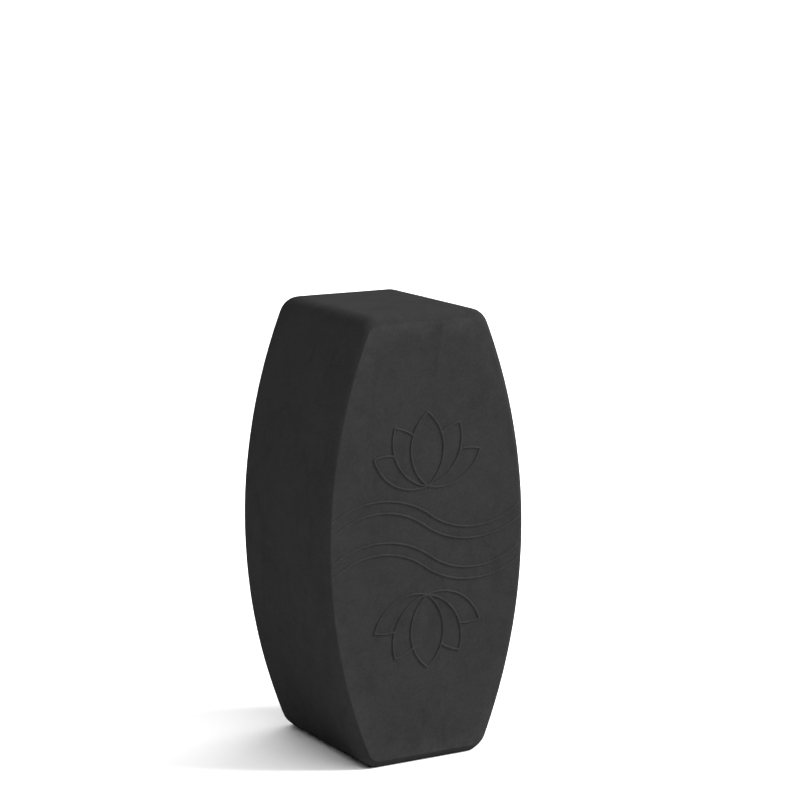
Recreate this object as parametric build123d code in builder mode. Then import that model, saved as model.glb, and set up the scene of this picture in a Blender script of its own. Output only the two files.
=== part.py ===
from build123d import *
from math import cos, radians, sin, sqrt
import os

# A foam exercise block for balance, support and stretching, standing on one short end. Its two
# large faces and its two short ends are flat, and its long sides bow outwards. It is one moulded
# piece of closed-cell foam, so the whole part is one solid.
# X runs across the block, Y through its thickness (the front face looks to -Y), Z up its length.

# Driving dimensions, mm and degrees
LENGTH = 305
WIDTH_MIDDLE = 156
WIDTH_END = 90.5          # between the corners before they are rounded
THICKNESS = 121           # from one flat face to the other
CORNER_RADIUS = 15        # in the outline, where a bowed side meets a short end
EDGE_RADIUS = 9.3         # round-over that runs all the way around each large face
CREASE_ANGLE = 26         # the large face cuts the round-over this far before it runs out flat

# Pattern of thin raised lines, the same on both large faces
LINE_WIDTH = 1.5
LINE_HEIGHT = 0.8
WAVE_LEVEL = 14           # middle of each double line, above and below the face's middle
WAVE_HALF_LENGTH = 73     # from one crossing of that level to the next
WAVE_RISE = 12            # of the crest and the trough
WAVE_GAP = 8              # between the two halves of a double line
WAVE_END = 71.5           # the lines stop here, just inside the face's long edges
LOTUS_BASE = 37           # where the petals meet, above and below the face's middle
PETAL_LENGTH = 50
PETAL_HALF_WIDTH = 12.5
PETAL_TILT = 31           # from each petal to the next one out
PETAL_SHORTER = 2         # each petal out is this much shorter
PETAL_SLIMMER = 1.5       # and this much less in half width

ROUND_OVER_LOST = EDGE_RADIUS * (1 - cos(radians(CREASE_ANGLE)))
HALF_WAVE = WAVE_HALF_LENGTH / 2
WAVE_RADIUS = (HALF_WAVE**2 + WAVE_RISE**2) / (2 * WAVE_RISE)


def line(*arc_points):
    """A round-ended line of the pattern's width along an arc through three points."""
    with BuildLine(mode=Mode.PRIVATE) as path:
        ThreePointArc(*arc_points)
    trace(path.edges(), line_width=LINE_WIDTH)
    with Locations(arc_points[0], arc_points[-1]):
        Circle(LINE_WIDTH / 2)


def wave(level, offset):
    """A line that crosses the face in a crest and a trough, this far off a level."""
    trough_radius = WAVE_RADIUS - offset
    crest_radius = WAVE_RADIUS + offset
    centre_height = WAVE_RADIUS - WAVE_RISE
    reach = WAVE_END - HALF_WAVE
    share = offset / WAVE_RADIUS
    crossing = (share * HALF_WAVE, level + share * centre_height)
    trough_end = level + centre_height - sqrt(trough_radius**2 - reach**2)
    crest_end = level - centre_height + sqrt(crest_radius**2 - reach**2)
    line(crossing, (HALF_WAVE, level + centre_height - trough_radius), (WAVE_END, trough_end))
    line(crossing, (-HALF_WAVE, level - centre_height + crest_radius), (-WAVE_END, crest_end))


def petal(tilt, length, half_width, turn):
    """A pointed petal between two arcs, which hides the lines that it lies over."""
    base = Vector(0, LOTUS_BASE)
    along = Vector(sin(radians(tilt)), cos(radians(tilt)))
    across = Vector(along.Y, -along.X)
    middle = base + along * (length / 2)
    corners = (base, middle + across * half_width, base + along * length, middle - across * half_width)
    start, right, tip, left = [corner.rotate(Axis.Z, turn) for corner in corners]
    with BuildLine(mode=Mode.PRIVATE) as outline:
        ThreePointArc(start, right, tip)
        ThreePointArc(tip, left, start)
    make_face(outline.edges(), mode=Mode.SUBTRACT)
    line(start, right, tip)
    line(start, left, tip)


with BuildPart() as foam_block:
    # The slab starts a little too thick, so that its round-over can be cut short by the faces
    with BuildSketch(Plane.XZ):
        with BuildLine():
            foot = Line((-WIDTH_END / 2, 0), (WIDTH_END / 2, 0))
            side = ThreePointArc(foot @ 1, (WIDTH_MIDDLE / 2, LENGTH / 2), (WIDTH_END / 2, LENGTH))
            head = Line(side @ 1, (-WIDTH_END / 2, LENGTH))
            ThreePointArc(head @ 1, (-WIDTH_MIDDLE / 2, LENGTH / 2), foot @ 0)
        outline = make_face()
        fillet(outline.vertices(), radius=CORNER_RADIUS)
    extrude(amount=THICKNESS / 2 + ROUND_OVER_LOST, both=True)
    fillet(foam_block.faces().filter_by(Axis.Y).edges(), radius=EDGE_RADIUS)
    with Locations((0, 0, LENGTH / 2)):
        Box(2 * WIDTH_MIDDLE, THICKNESS, 2 * LENGTH, mode=Mode.INTERSECT)

    # The pattern stands the same way up on the front and on the back
    for side_sign in (-1, 1):
        face_middle = (0, side_sign * THICKNESS / 2, LENGTH / 2)
        with BuildSketch(Plane(face_middle, x_dir=(-side_sign, 0, 0), z_dir=(0, side_sign, 0))):
            for level in (WAVE_LEVEL, -WAVE_LEVEL):
                for offset in (WAVE_GAP / 2, -WAVE_GAP / 2):
                    wave(level, offset)
            for turn in (0, 180):
                for step in (2, -2, 1, -1, 0):
                    length = PETAL_LENGTH - PETAL_SHORTER * abs(step)
                    half_width = PETAL_HALF_WIDTH - PETAL_SLIMMER * abs(step)
                    petal(PETAL_TILT * step, length, half_width, turn)
        extrude(amount=LINE_HEIGHT)

foam_block.part.label = "foam_block"
os.makedirs("parts", exist_ok=True)
export_step(foam_block.part, "parts/foam_block.step")

solid = foam_block.part.solids()[0]
print("solids", len(foam_block.part.solids()), "volume", round(solid.volume / 1e6, 3), "litres")
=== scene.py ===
from math import acos, asin, atan2, ceil, cos, hypot, pi, radians, sin, sqrt

import bpy
import numpy as np
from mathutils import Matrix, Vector, noise
from mathutils.geometry import delaunay_2d_cdt


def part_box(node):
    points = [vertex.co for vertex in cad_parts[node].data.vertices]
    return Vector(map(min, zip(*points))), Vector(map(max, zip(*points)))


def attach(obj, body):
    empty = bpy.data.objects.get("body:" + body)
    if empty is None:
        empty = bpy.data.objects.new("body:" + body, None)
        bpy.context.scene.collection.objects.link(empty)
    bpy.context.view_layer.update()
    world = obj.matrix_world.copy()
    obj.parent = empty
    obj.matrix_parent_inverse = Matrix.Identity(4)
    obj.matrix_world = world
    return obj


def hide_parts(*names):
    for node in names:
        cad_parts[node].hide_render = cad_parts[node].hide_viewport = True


# The looks of a moulded foam exercise block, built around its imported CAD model, in metres.
# X runs across the block, Y through its thickness (the front is -Y), Z up along its length.

NODE = "foam_block"
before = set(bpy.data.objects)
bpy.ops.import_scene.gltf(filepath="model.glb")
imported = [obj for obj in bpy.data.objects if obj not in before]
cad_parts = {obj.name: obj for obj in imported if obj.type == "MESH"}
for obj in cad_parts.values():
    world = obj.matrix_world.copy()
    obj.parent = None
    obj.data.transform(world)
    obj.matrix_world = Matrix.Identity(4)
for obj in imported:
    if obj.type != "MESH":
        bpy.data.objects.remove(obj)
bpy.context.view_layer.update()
low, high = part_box(NODE)

# The thin raised lines of the pattern, as in the CAD model
LINE_WIDTH = 0.0015
LINE_HEIGHT = 0.0008
WAVE_LEVEL = 0.014
WAVE_HALF_LENGTH = 0.073
WAVE_RISE = 0.012
WAVE_GAP = 0.008
WAVE_END = 0.0715
LOTUS_BASE = 0.037
PETAL_LENGTH = 0.050
PETAL_HALF_WIDTH = 0.0125
PETAL_TILT = radians(31)
PETAL_SHORTER = 0.002
PETAL_SLIMMER = 0.0015

# The block: overall size from the CAD model's box, small shapes as in the CAD model
WIDTH_MIDDLE, OVER_LINES, LENGTH = high - low
THICKNESS = OVER_LINES - 2 * LINE_HEIGHT
MIDDLE_HEIGHT = (low.z + high.z) / 2
WIDTH_END = 0.0905
CORNER_RADIUS = 0.015
EDGE_RADIUS = 0.0093
CREASE_ANGLE = radians(26)

# What the looks add to that shape
CREASE_SOFTNESS = 0.0003      # radius of the crease itself
LINE_RUN_OUT = 0.005          # a line sinks into the face over this distance beside the crease
WAVINESS = 0.0002             # of the skin, inwards only, so that the block keeps its size
WAVINESS_LENGTH = 0.045
SETTLING = 0.0012             # where it rests, its lowest edges are pressed down this far,
SETTLED_BELOW = 0.004         # and less and less up to this height

# Mesh density
STATION_STEP = 0.002          # around the outline
SIDE_STEP = 0.003             # through the thickness
ROUND_OVER_STEPS = 10
CREASE_STEPS = 4
CREASE_LOOPS = (0.0004, 0.002)  # loops on the flat face beside the crease, which keep it crisp
FACE_GRID = 0.004             # side of the triangles on the flat face
GRID_MARGIN = FACE_GRID / 3   # between the last of those loops and the grid
LINE_STEP = 0.0012            # along a raised line
LINE_ROWS = (0.4, 0.75, 1, 1.3)  # rows of points beside its middle, in half widths
LINE_END_POINTS = 12          # around each of those rows at a line's round end
HIDING_STEPS = 1000           # along a petal's edge, to find where another petal hides it
CLOSEST = 0.00015             # no two points of a face are nearer than this
MILLIMETRES = 1000            # in a metre; the triangulation works in millimetres
SAME_PLACE = 1e-5             # in millimetres; the triangulation joins points nearer than this
INSIDE_ONLY = 1               # its mode that keeps only the triangles inside the crease

# Paler foam, partly rubbed wear and partly painted light: on top of the raised lines as a painted
# highlight, and on the flat faces beside the crease near the block's two ends as painted light there
WEAR_AND_PAINTED_LIGHT_GAIN = 1.26
WEAR_AND_PAINTED_LIGHT_REACH = 0.018            # from the crease
WEAR_AND_PAINTED_LIGHT_FALLOFF = 1.5            # power of the share of that reach
WEAR_AND_PAINTED_LIGHT_FROM = 0.085             # distance from the block's middle where it starts
WEAR_AND_PAINTED_LIGHT_PATCHINESS = (0.6, 1.4)  # between the thin and the strong blotches

# The foam's colours, and where they stand in its mottle
FOAM_DARK = (0.0169, 0.0169, 0.0170, 1)
FOAM_LIGHT = (0.0226, 0.0226, 0.0227, 1)
DARK_AT, LIGHT_AT = 0.35, 0.65

# The foam's noise textures, with scales per metre, and how they are mixed
CLOUDS = {"scale": 24, "detail": 4, "distortion": 0.4}
BLOTCHES = {"scale": 110, "detail": 3, "distortion": 0.2}
GRAIN = {"scale": 820, "detail": 3}
LEATHER = {"scale": 260, "detail": 4, "distortion": 0.6}
SCUFFS = {"scale": 60, "detail": 5, "distortion": 1.2, "stretch": (1, 1, 0.5)}
NOISE_LOW, NOISE_HIGH = 0.3, 0.7  # a noise texture's values are mostly between these
BLOTCH_SHARE = 0.45           # in the clouds
GRAIN_SHARE = 0.5             # in the mottle of clouds and blotches
LEATHER_SHARE = 0.5           # in the relief of grain and leather

# Scuffs, where their noise is high
SCUFF_FROM, SCUFF_FULL = 0.55, 0.72
SCUFF_DARKENING = 0.90

# Pale specks, each in a cell of a Voronoi texture
SPECK_SCALE = 90              # cells per metre
SPECK_SIZE = 0.05             # in cells
SPECK_CHOICE = (0.62, 0.66)   # only the cells whose random value is above this have one
SPECK_LIGHTENING = 1.45

# Roughness and relief
ROUGHNESS_DARK, ROUGHNESS_LIGHT = 0.88, 0.76
SPECULAR_LEVEL = 0.004
CELL_SCALE = 1600             # closed cells per metre
CELL_RELIEF = {"strength": 0.25, "distance": 0.0001}
LEATHER_RELIEF = {"strength": 0.55, "distance": 0.0003}

# Camera: it stands to the front left of the block and looks slightly down
CAMERA_PLACE = (-0.8650, -1.5261, 0.5581)
CAMERA_YAW = radians(-29.94)
CAMERA_PITCH = radians(-10.35)
CAMERA_LENS = 118.35          # millimetres

# Studio lights: name, strength, softness (degrees across), azimuth, elevation
LIGHTS = (
    ("key_light", 6.5, 18, 60, 35),
    ("side_light", 1.75, 50, 110, 35),
    ("front_light", 1.75, 50, 0, 60),
    ("back_light", 1.35, 50, 160, 40),
    ("far_fill_light", 0.85, 50, -130, 50),
)
FLOOR_REACH = 30.0            # from the block's middle to the floor's edges
FLOOR_COLOUR = (0.9, 0.9, 0.9, 1)
FLOOR_ROUGHNESS = 0.9
BACKDROP_COLOUR = (1, 1, 1, 1)
BACKDROP_STRENGTH = 1.1


# ---- the block's outline about the face's middle, seen from the front, anticlockwise ----

def arc_stations(centre, radius, start, end):
    """Points and outward normals along an arc, without its last point."""
    count = ceil(abs(end - start) * radius / STATION_STEP)
    angle = np.linspace(start, end, count, endpoint=False)
    normal = np.column_stack((np.cos(angle), np.sin(angle)))
    return np.array(centre) + radius * normal, normal


def line_stations(start, end, normal):
    """The same along a straight line."""
    count = ceil(hypot(end[0] - start[0], end[1] - start[1]) / STATION_STEP)
    share = np.linspace(0, 1, count, endpoint=False)[:, None]
    points = np.array(start) * (1 - share) + np.array(end) * share
    return points, np.tile(np.array(normal, float), (count, 1))


def outline_stations():
    """Two bowed sides and two straight ends, with rounded corners between them."""
    bow = (WIDTH_MIDDLE - WIDTH_END) / 2
    side_radius = ((LENGTH / 2) ** 2 + bow**2) / (2 * bow)
    side_x = WIDTH_MIDDLE / 2 - side_radius
    corner_z = LENGTH / 2 - CORNER_RADIUS
    corner_x = side_x + sqrt((side_radius - CORNER_RADIUS) ** 2 - corner_z**2)
    side_turn = atan2(corner_z, corner_x - side_x)
    stretches = []
    for flip, turn in ((1, 0), (-1, pi)):
        end_z = flip * LENGTH / 2
        near, far = (flip * corner_x, flip * corner_z), (-flip * corner_x, flip * corner_z)
        stretches += [
            arc_stations((flip * side_x, 0), side_radius, turn - side_turn, turn + side_turn),
            arc_stations(near, CORNER_RADIUS, turn + side_turn, turn + pi / 2),
            line_stations((near[0], end_z), (far[0], end_z), (0, flip)),
            arc_stations(far, CORNER_RADIUS, turn + pi / 2, turn + pi - side_turn),
        ]
    return np.vstack([points for points, _ in stretches]), np.vstack([n for _, n in stretches])


# ---- the raised lines: arcs about the face's middle, each (centre, radius, start, sweep) ----

def arc_points(arc, share, offset=0):
    """Points at these shares of the arc's sweep, this far outside it."""
    centre, radius, start, sweep = arc
    angle = start + sweep * np.asarray(share)
    return centre + (radius + offset) * np.column_stack((np.cos(angle), np.sin(angle)))


def arc_distance(points, arc):
    """How far each point is from the arc."""
    centre, radius, start, sweep = arc
    away = points - centre
    angle = (np.sign(sweep) * (np.arctan2(away[:, 1], away[:, 0]) - start)) % (2 * pi)
    across = np.abs(np.hypot(*away.T) - radius)
    to_ends = [np.hypot(*(points - end).T) for end in arc_points(arc, (0, 1))]
    return np.where(angle <= abs(sweep), across, np.minimum(*to_ends))


def nearest_line(points, arcs):
    """How far each point is from the middle of the nearest line."""
    return np.min([arc_distance(points, arc) for arc in arcs], axis=0)


def wave_arcs():
    """Two double lines that cross the face, each line a crest and a trough."""
    half_wave = WAVE_HALF_LENGTH / 2
    middle_radius = (half_wave**2 + WAVE_RISE**2) / (2 * WAVE_RISE)
    half_turn = asin(half_wave / middle_radius)
    centre_height = middle_radius - WAVE_RISE
    arcs = []
    for level in (WAVE_LEVEL, -WAVE_LEVEL):
        for offset in (WAVE_GAP / 2, -WAVE_GAP / 2):
            for side, up in ((1, -1), (-1, 1)):
                centre = np.array((side * half_wave, level - up * centre_height))
                radius = middle_radius + up * offset
                sweep = half_turn + asin((WAVE_END - half_wave) / radius)
                arcs.append((centre, radius, up * pi / 2 - half_turn, sweep))
    return arcs


def shown_from(edge, petals):
    """The share of a petal's edge, from the lotus's base, that the petals in front hide."""
    share = np.linspace(0, 1, HIDING_STEPS)
    points = arc_points(edge, share)
    hidden = np.zeros(len(share), bool)
    for petal in petals:
        inside = [np.hypot(*(points - centre).T) < radius for centre, radius, _, _ in petal]
        hidden |= np.all(inside, axis=0)
    return share[hidden].max(initial=0)


def lotus_arcs(turn):
    """Five pointed petals from one point; a petal hides what lies behind it."""
    turned = np.array(((cos(turn), sin(turn)), (-sin(turn), cos(turn))))
    arcs, in_front = [], []
    for step in (0, 1, -1, 2, -2):
        length = PETAL_LENGTH - PETAL_SHORTER * abs(step)
        half_width = PETAL_HALF_WIDTH - PETAL_SLIMMER * abs(step)
        tilt = PETAL_TILT * step
        radius = (length**2 / 4 + half_width**2) / (2 * half_width)
        spread = asin(length / 2 / radius)
        middle = np.array((sin(tilt) * length / 2, LOTUS_BASE + cos(tilt) * length / 2))
        across = np.array((cos(tilt), -sin(tilt))) * (radius - half_width)
        petal = [
            ((middle - across) @ turned, radius, turn - tilt - spread, 2 * spread),
            ((middle + across) @ turned, radius, turn - tilt + pi + spread, -2 * spread),
        ]
        for edge in petal:
            centre, radius, start, sweep = edge
            hidden = shown_from(edge, in_front)
            arcs.append((centre, radius, start + sweep * hidden, sweep * (1 - hidden)))
        in_front.append(petal)
    return arcs


# ---- the flat faces ----

def line_points(arc):
    """Rows of points along a raised line and around its two round ends."""
    _, radius, _, sweep = arc
    count = ceil(abs(sweep) * radius / LINE_STEP) + 1
    share = np.linspace(0, 1, count)
    rows = [arc_points(arc, share)]
    for row in LINE_ROWS:
        offset = row * LINE_WIDTH / 2
        rows += [arc_points(arc, share, offset), arc_points(arc, share, -offset)]
        around = np.linspace(0, 2 * pi, LINE_END_POINTS, endpoint=False)
        circle = offset * np.column_stack((np.cos(around), np.sin(around)))
        rows += [end + circle for end in arc_points(arc, (0, 1))]
    return np.vstack(rows)


def thinned(points):
    """The points in their order, without any that lies too near one before it."""
    beside = (-1, 0, 1)
    taken, kept = {}, []
    for x, z in points.tolist():
        column, row = int(x // CLOSEST), int(z // CLOSEST)
        near = [taken.get((column + i, row + j)) for i in beside for j in beside]
        if all(other is None or hypot(x - other[0], z - other[1]) >= CLOSEST for other in near):
            taken[column, row] = (x, z)
            kept.append((x, z))
    return np.array(kept)


def inside_crease(places, points, normals, inset):
    """How far each place on the flat face is inside the crease."""
    support = (points * normals).sum(1)
    return (support - places @ normals.T).min(1) - inset


def face_points(arcs, points, normals, inset):
    """Points along the raised lines, in loops beside the crease and in a grid between them."""
    step_up = FACE_GRID * sqrt(3) / 2
    rows, columns = ceil(LENGTH / 2 / step_up), ceil(WIDTH_MIDDLE / 2 / FACE_GRID)
    grid = np.array([
        (FACE_GRID * (i + 0.5 * (j % 2)), step_up * j)
        for j in range(-rows, rows + 1)
        for i in range(-columns, columns + 1)
    ])
    past_loops = inside_crease(grid, points, normals, inset) > CREASE_LOOPS[-1] + GRID_MARGIN
    grid = grid[past_loops & (nearest_line(grid, arcs) > LINE_WIDTH)]
    loops = [points - normals * (inset + beside) for beside in CREASE_LOOPS]
    return thinned(np.vstack([line_points(arc) for arc in arcs] + loops + [grid]))


def triangulated(ring, inner):
    """The ring's points, then the inner ones, then any that the triangulation added, and the
    triangles between them."""
    sent = np.vstack((ring, inner))
    edges = [(i, (i + 1) % len(ring)) for i in range(len(ring))]
    places = [Vector(p) * MILLIMETRES for p in sent.tolist()]
    result = delaunay_2d_cdt(places, edges, [], INSIDE_ONLY, SAME_PLACE)
    made, _, triangles, came_from, _, _ = result
    order = [origin[0] if origin else len(sent) + k for k, origin in enumerate(came_from)]
    place = {index: k for k, index in enumerate(sorted(order))}
    positions = np.zeros((len(made), 2))
    for k, index in enumerate(order):
        known = index < len(sent)
        positions[place[index]] = sent[index] if known else np.array(made[k]) / MILLIMETRES
    return positions, [[place[order[k]] for k in triangle] for triangle in triangles]


def flat_face(points, normals, inset):
    """A large face inside its crease: points, heights above the face, how much each is paled by wear
    and painted light, and triangles. The crease's own points come first."""
    arcs = wave_arcs() + lotus_arcs(0) + lotus_arcs(pi)
    crease = points - normals * inset
    positions, triangles = triangulated(crease, face_points(arcs, points, normals, inset))
    beside = inside_crease(positions, points, normals, inset)
    reach = np.minimum(nearest_line(positions, arcs) / (LINE_WIDTH / 2), 1)
    # 1 on a raised line's middle, 0 at its foot: it shapes the line and pales its top, partly as wear
    # and partly as a painted highlight
    on_line = 1 - reach**2
    height = LINE_HEIGHT * on_line * np.clip(beside / LINE_RUN_OUT, 0, 1)
    # Beside the crease near the two ends the face is paled, partly as rubbed wear and partly as painted
    # light there
    near_crease = np.clip(1 - beside / WEAR_AND_PAINTED_LIGHT_REACH, 0, 1) ** WEAR_AND_PAINTED_LIGHT_FALLOFF
    near_end = np.clip((np.abs(positions[:, 1]) - WEAR_AND_PAINTED_LIGHT_FROM) / (LENGTH / 2 - WEAR_AND_PAINTED_LIGHT_FROM), 0, 1)
    return positions, height, np.maximum(near_crease * near_end, on_line), triangles


# ---- the whole block ----

def thickness_profile():
    """From the front crease to the back one: inset from the outline, y, and the skin's tilt."""
    # The crease's own small arc touches the flat face and, from inside, the round-over's arc
    depth = EDGE_RADIUS * cos(CREASE_ANGLE)
    centre_y = THICKNESS / 2 - depth
    between = EDGE_RADIUS - CREASE_SOFTNESS
    join = acos((depth - CREASE_SOFTNESS) / between)
    crease_tilt = np.linspace(0, join, CREASE_STEPS, endpoint=False)
    crease_inset = EDGE_RADIUS - between * sin(join) - CREASE_SOFTNESS * np.sin(crease_tilt)
    crease_y = -THICKNESS / 2 + CREASE_SOFTNESS * (1 - np.cos(crease_tilt))
    tilt = np.linspace(join, pi / 2, ROUND_OVER_STEPS + 1)
    inset = np.concatenate((crease_inset, EDGE_RADIUS * (1 - np.sin(tilt))))
    y = np.concatenate((crease_y, -centre_y - EDGE_RADIUS * np.cos(tilt)))
    tilt = np.concatenate((crease_tilt, tilt))
    side_y = np.linspace(-centre_y, centre_y, ceil(2 * centre_y / SIDE_STEP) + 1)[1:-1]
    inset = np.concatenate((inset, np.zeros(len(side_y)), inset[::-1]))
    tilt = np.concatenate((tilt, np.full(len(side_y), pi / 2), pi - tilt[::-1]))
    return inset, np.concatenate((y, side_y, -y[::-1])), tilt


def skin_rings(points, normals, profile):
    """A ring of points for each place in the profile, with the directions they face."""
    around = len(points)
    vertices, directions = [], []
    for inset, y, tilt in zip(*profile):
        flat = points - normals * inset
        out = normals * sin(tilt)
        vertices.append(np.column_stack((flat[:, 0], np.full(around, y), flat[:, 1])))
        directions.append(np.column_stack((out[:, 0], np.full(around, -cos(tilt)), out[:, 1])))
    return vertices, directions


def ring_faces(rows, around):
    """Faces between each ring of points and the next."""
    faces = []
    for row in range(rows - 1):
        here, ahead = row * around, (row + 1) * around
        for i in range(around):
            j = (i + 1) % around
            faces.append((here + i, ahead + i, ahead + j, here + j))
    return faces


def finished_skin(vertices, directions, heights):
    """The points with their heights and the skin's waviness, stood up and settled."""
    # The noise runs from -1 to 1, and the skin sinks by 0 to 1 times the waviness
    waviness = [noise.noise(Vector(p) / WAVINESS_LENGTH) for p in vertices.tolist()]
    sunk = WAVINESS * np.clip(0.5 + 0.5 * np.array(waviness), 0, 1)
    vertices = vertices + directions * (heights - sunk)[:, None] + (0, 0, MIDDLE_HEIGHT)
    pressed = SETTLING * np.clip(1 - vertices[:, 2] / SETTLED_BELOW, 0, 1) ** 2
    vertices[:, 2] = np.maximum(vertices[:, 2] - pressed, 0)
    return vertices


def block_mesh():
    """The closed mesh of the block: rings of skin, and a flat face at each end of them."""
    points, normals = outline_stations()
    profile = thickness_profile()
    vertices, directions = skin_rings(points, normals, profile)
    around, rows = len(points), len(vertices)
    faces = ring_faces(rows, around)
    heights = [np.zeros(around) for _ in range(rows)]
    wear_and_painted_light = [np.zeros(around) for _ in range(rows)]
    crease_inset = profile[0][0]
    flat, height, face_wear_and_painted_light, triangles = flat_face(points, normals, crease_inset)
    inner = len(flat) - around
    total = rows * around

    # The outline is the same turned over, so on the back the crease point that stands for
    # another is the one mirrored in x
    crease = points - normals * crease_inset
    itself = np.arange(around)
    mirrored = np.array([np.hypot(*(crease - p).T).argmin() for p in crease * (-1, 1)])
    for side, row, partner in ((-1, 0, itself), (1, rows - 1, mirrored)):
        # Seen from behind, the pattern reads the same way up: x is turned over
        inside = flat[around:] * (-side, 1)
        face_y = np.full(inner, side * THICKNESS / 2)
        vertices.append(np.column_stack((inside[:, 0], face_y, inside[:, 1])))
        directions.append(np.tile((0.0, side, 0.0), (inner, 1)))
        heights.append(height[around:])
        wear_and_painted_light.append(face_wear_and_painted_light[around:])
        wear_and_painted_light[row] = face_wear_and_painted_light[:around]
        index = np.concatenate((row * around + partner, total + np.arange(inner))).tolist()
        faces += [(index[a], index[b], index[c]) for a, b, c in triangles]
        total += inner
    stacked = [np.vstack(vertices), np.vstack(directions), np.concatenate(heights)]
    mesh = bpy.data.meshes.new(NODE)
    mesh.from_pydata(finished_skin(*stacked).tolist(), [], faces)
    mesh.shade_smooth()
    # The share of paling at each point: wear, with a painted highlight on the raised lines and painted
    # light near the ends
    mesh.attributes.new("wear_and_painted_light", "FLOAT", "POINT").data.foreach_set("value", np.concatenate(wear_and_painted_light))
    return mesh


# ---- materials ----

class Surface:
    """A Principled material, with short ways to add procedural detail to it."""

    def __init__(self, name):
        self.material = bpy.data.materials.new(name)
        self.material.use_nodes = True
        self.nodes = self.material.node_tree.nodes
        self.links = self.material.node_tree.links
        self.shader = self.nodes["Principled BSDF"]
        self.place = self.nodes.new("ShaderNodeTexCoord").outputs["Object"]

    def node(self, kind, operation=None, **inputs):
        """A node whose inputs are numbers or other nodes' outputs."""
        node = self.nodes.new(kind)
        if operation:
            node.operation = operation
        for name, value in inputs.items():
            socket = node.inputs[name.replace("_", " ")]
            if isinstance(value, bpy.types.NodeSocket):
                self.links.new(value, socket)
            else:
                socket.default_value = value
        return node

    def noise(self, scale, detail, distortion=0.0, stretch=None):
        """A noise texture's value, in cells that can be stretched along an axis."""
        place = self.place
        if stretch:
            place = self.node("ShaderNodeMapping", Vector=place, Scale=stretch).outputs["Vector"]
        settings = {"Scale": scale, "Detail": detail, "Distortion": distortion}
        return self.node("ShaderNodeTexNoise", Vector=place, **settings).outputs["Fac"]

    def cells(self, scale):
        """A Voronoi texture of separate cells."""
        return self.node("ShaderNodeTexVoronoi", Vector=self.place, Scale=scale).outputs

    def stored(self, name):
        """The number that the mesh stores at its points under this name."""
        attribute = self.nodes.new("ShaderNodeAttribute")
        attribute.attribute_name = name
        return attribute.outputs["Fac"]

    def blend(self, first, second, share):
        """A mix with this share of the second value."""
        return self.node("ShaderNodeMix", Factor=share, A=first, B=second).outputs["Result"]

    def map(self, value, start, end, to_start, to_end):
        """The value, carried from one range to another and held within it."""
        settings = {"From_Min": start, "From_Max": end, "To_Min": to_start, "To_Max": to_end}
        return self.node("ShaderNodeMapRange", Value=value, **settings).outputs["Result"]

    def product(self, first, second):
        """The product of two nodes' values."""
        node = self.node("ShaderNodeMath", "MULTIPLY")
        self.links.new(first, node.inputs[0])
        self.links.new(second, node.inputs[1])
        return node.outputs["Value"]

    def scaled(self, colour, factor):
        """A colour made lighter or darker."""
        return self.node("ShaderNodeVectorMath", "SCALE", Vector=colour, Scale=factor).outputs["Vector"]

    def bump(self, height, strength, distance):
        """Adds relief on top of what the surface already has."""
        bump = self.node("ShaderNodeBump", Height=height, Strength=strength, Distance=distance)
        before = self.shader.inputs["Normal"]
        if before.links:
            self.links.new(before.links[0].from_socket, bump.inputs["Normal"])
        self.links.new(bump.outputs["Normal"], before)


def foam_material():
    """Black closed-cell foam: a cloudy, faintly leathery moulded skin over very fine cells."""
    foam = Surface("black_foam")
    clouds = foam.noise(**CLOUDS)
    blotches = foam.noise(**BLOTCHES)
    grain = foam.noise(**GRAIN)
    mottle = foam.blend(foam.blend(clouds, blotches, BLOTCH_SHARE), grain, GRAIN_SHARE)

    # Colour: mottled grey-black, with faint darker scuffs, paler foam from wear along with a painted
    # highlight on the raised lines and painted light near the ends, and a few pale specks
    ramp = foam.node("ShaderNodeValToRGB", Fac=mottle)
    dark, light = ramp.color_ramp.elements
    dark.position, dark.color = DARK_AT, FOAM_DARK
    light.position, light.color = LIGHT_AT, FOAM_LIGHT
    scuffs = foam.map(foam.noise(**SCUFFS), SCUFF_FROM, SCUFF_FULL, 1.0, SCUFF_DARKENING)
    patches = foam.map(blotches, NOISE_LOW, NOISE_HIGH, *WEAR_AND_PAINTED_LIGHT_PATCHINESS)
    # Paler where worn, and where painted light near the ends and a painted highlight on the raised
    # lines are put
    wear_and_painted_light = foam.map(foam.product(foam.stored("wear_and_painted_light"), patches), 0.0, 1.0, 1.0, WEAR_AND_PAINTED_LIGHT_GAIN)
    specks = foam.cells(SPECK_SCALE)
    chosen = foam.map(specks["Color"], *SPECK_CHOICE, 0.0, 1.0)
    near = foam.map(specks["Distance"], SPECK_SIZE / 2, SPECK_SIZE, 1.0, 0.0)
    speck = foam.map(foam.product(chosen, near), 0.0, 1.0, 1.0, SPECK_LIGHTENING)
    change = foam.product(foam.product(scuffs, wear_and_painted_light), speck)
    foam.links.new(foam.scaled(ramp.outputs["Color"], change), foam.shader.inputs["Base Color"])
    roughness = foam.map(mottle, NOISE_LOW, NOISE_HIGH, ROUGHNESS_DARK, ROUGHNESS_LIGHT)
    foam.links.new(roughness, foam.shader.inputs["Roughness"])
    foam.shader.inputs["Specular IOR Level"].default_value = SPECULAR_LEVEL

    # Relief: closed cells, then the fine leathery grain of the skin
    foam.bump(foam.cells(CELL_SCALE)["Distance"], **CELL_RELIEF)
    foam.bump(foam.blend(grain, foam.noise(**LEATHER), LEATHER_SHARE), **LEATHER_RELIEF)
    return foam.material


def floor_material():
    """A matt, nearly white studio floor."""
    floor = Surface("studio_white")
    floor.shader.inputs["Base Color"].default_value = FLOOR_COLOUR
    floor.shader.inputs["Roughness"].default_value = FLOOR_ROUGHNESS
    floor.shader.inputs["Specular IOR Level"].default_value = 0.0
    return floor.material


# ---- the scene ----

def add_object(name, data):
    """An object of this mesh, light or camera, put in the scene."""
    thing = bpy.data.objects.new(name, data)
    bpy.context.scene.collection.objects.link(thing)
    return thing


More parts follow.
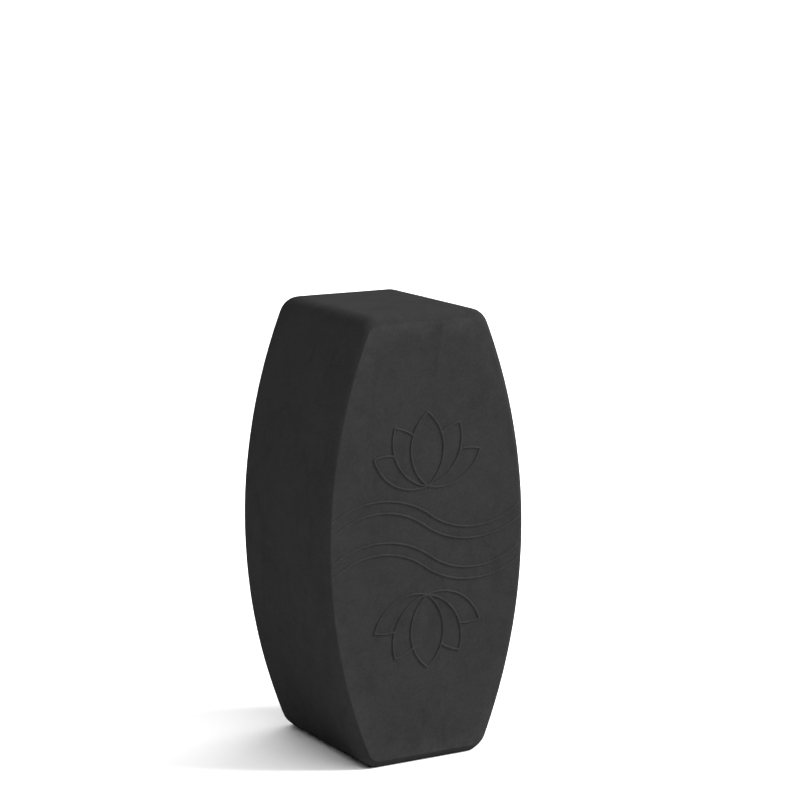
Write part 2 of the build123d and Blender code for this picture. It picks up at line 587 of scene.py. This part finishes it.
def add_block():
    """The block as one padded piece, in place of the CAD model's plain solid."""
    block = add_object("moulded_foam_block", block_mesh())
    block.data.materials.append(foam_material())
    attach(block, "root")
    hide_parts(NODE)


def add_floor():
    """A floor that runs on past everything the camera sees."""
    mesh = bpy.data.meshes.new("studio_floor")
    corners = [(FLOOR_REACH * x, FLOOR_REACH * y, 0) for x, y in ((-1, -1), (1, -1), (1, 1), (-1, 1))]
    mesh.from_pydata(corners, [], [(0, 1, 2, 3)])
    mesh.materials.append(floor_material())
    add_object("studio_floor", mesh)


def add_sun(name, strength, softness, azimuth, elevation):
    """A soft light from far away. Azimuth 0 is in front of the block, 90 at its +X side."""
    data = bpy.data.lights.new(name, "SUN")
    data.energy = strength
    data.angle = radians(softness)
    around, up = radians(azimuth), radians(elevation)
    to_light = Vector((sin(around) * cos(up), -cos(around) * cos(up), sin(up)))
    sun = add_object(name, data)
    sun.rotation_mode = "QUATERNION"
    sun.rotation_quaternion = to_light.to_track_quat("Z", "Y")


def add_backdrop():
    """A world that is white to the camera and gives no light; the suns give all of it."""
    world = bpy.data.worlds.new("studio")
    bpy.context.scene.world = world
    world.use_nodes = True
    nodes, links = world.node_tree.nodes, world.node_tree.links
    background = nodes["Background"]
    background.inputs["Color"].default_value = BACKDROP_COLOUR
    path = nodes.new("ShaderNodeLightPath")
    strength = nodes.new("ShaderNodeMapRange")
    strength.inputs["To Max"].default_value = BACKDROP_STRENGTH
    links.new(path.outputs["Is Camera Ray"], strength.inputs["Value"])
    links.new(strength.outputs["Result"], background.inputs["Strength"])


def add_camera():
    """The camera that the main view is seen through."""
    data = bpy.data.cameras.new("camera")
    data.lens = CAMERA_LENS
    camera = add_object("camera", data)
    camera.location = CAMERA_PLACE
    camera.rotation_euler = (pi / 2 + CAMERA_PITCH, 0, CAMERA_YAW)
    bpy.context.scene.camera = camera


add_block()
add_floor()
for light in LIGHTS:
    add_sun(*light)
add_backdrop()
add_camera()
bpy.context.scene.view_settings.view_transform = "Standard"
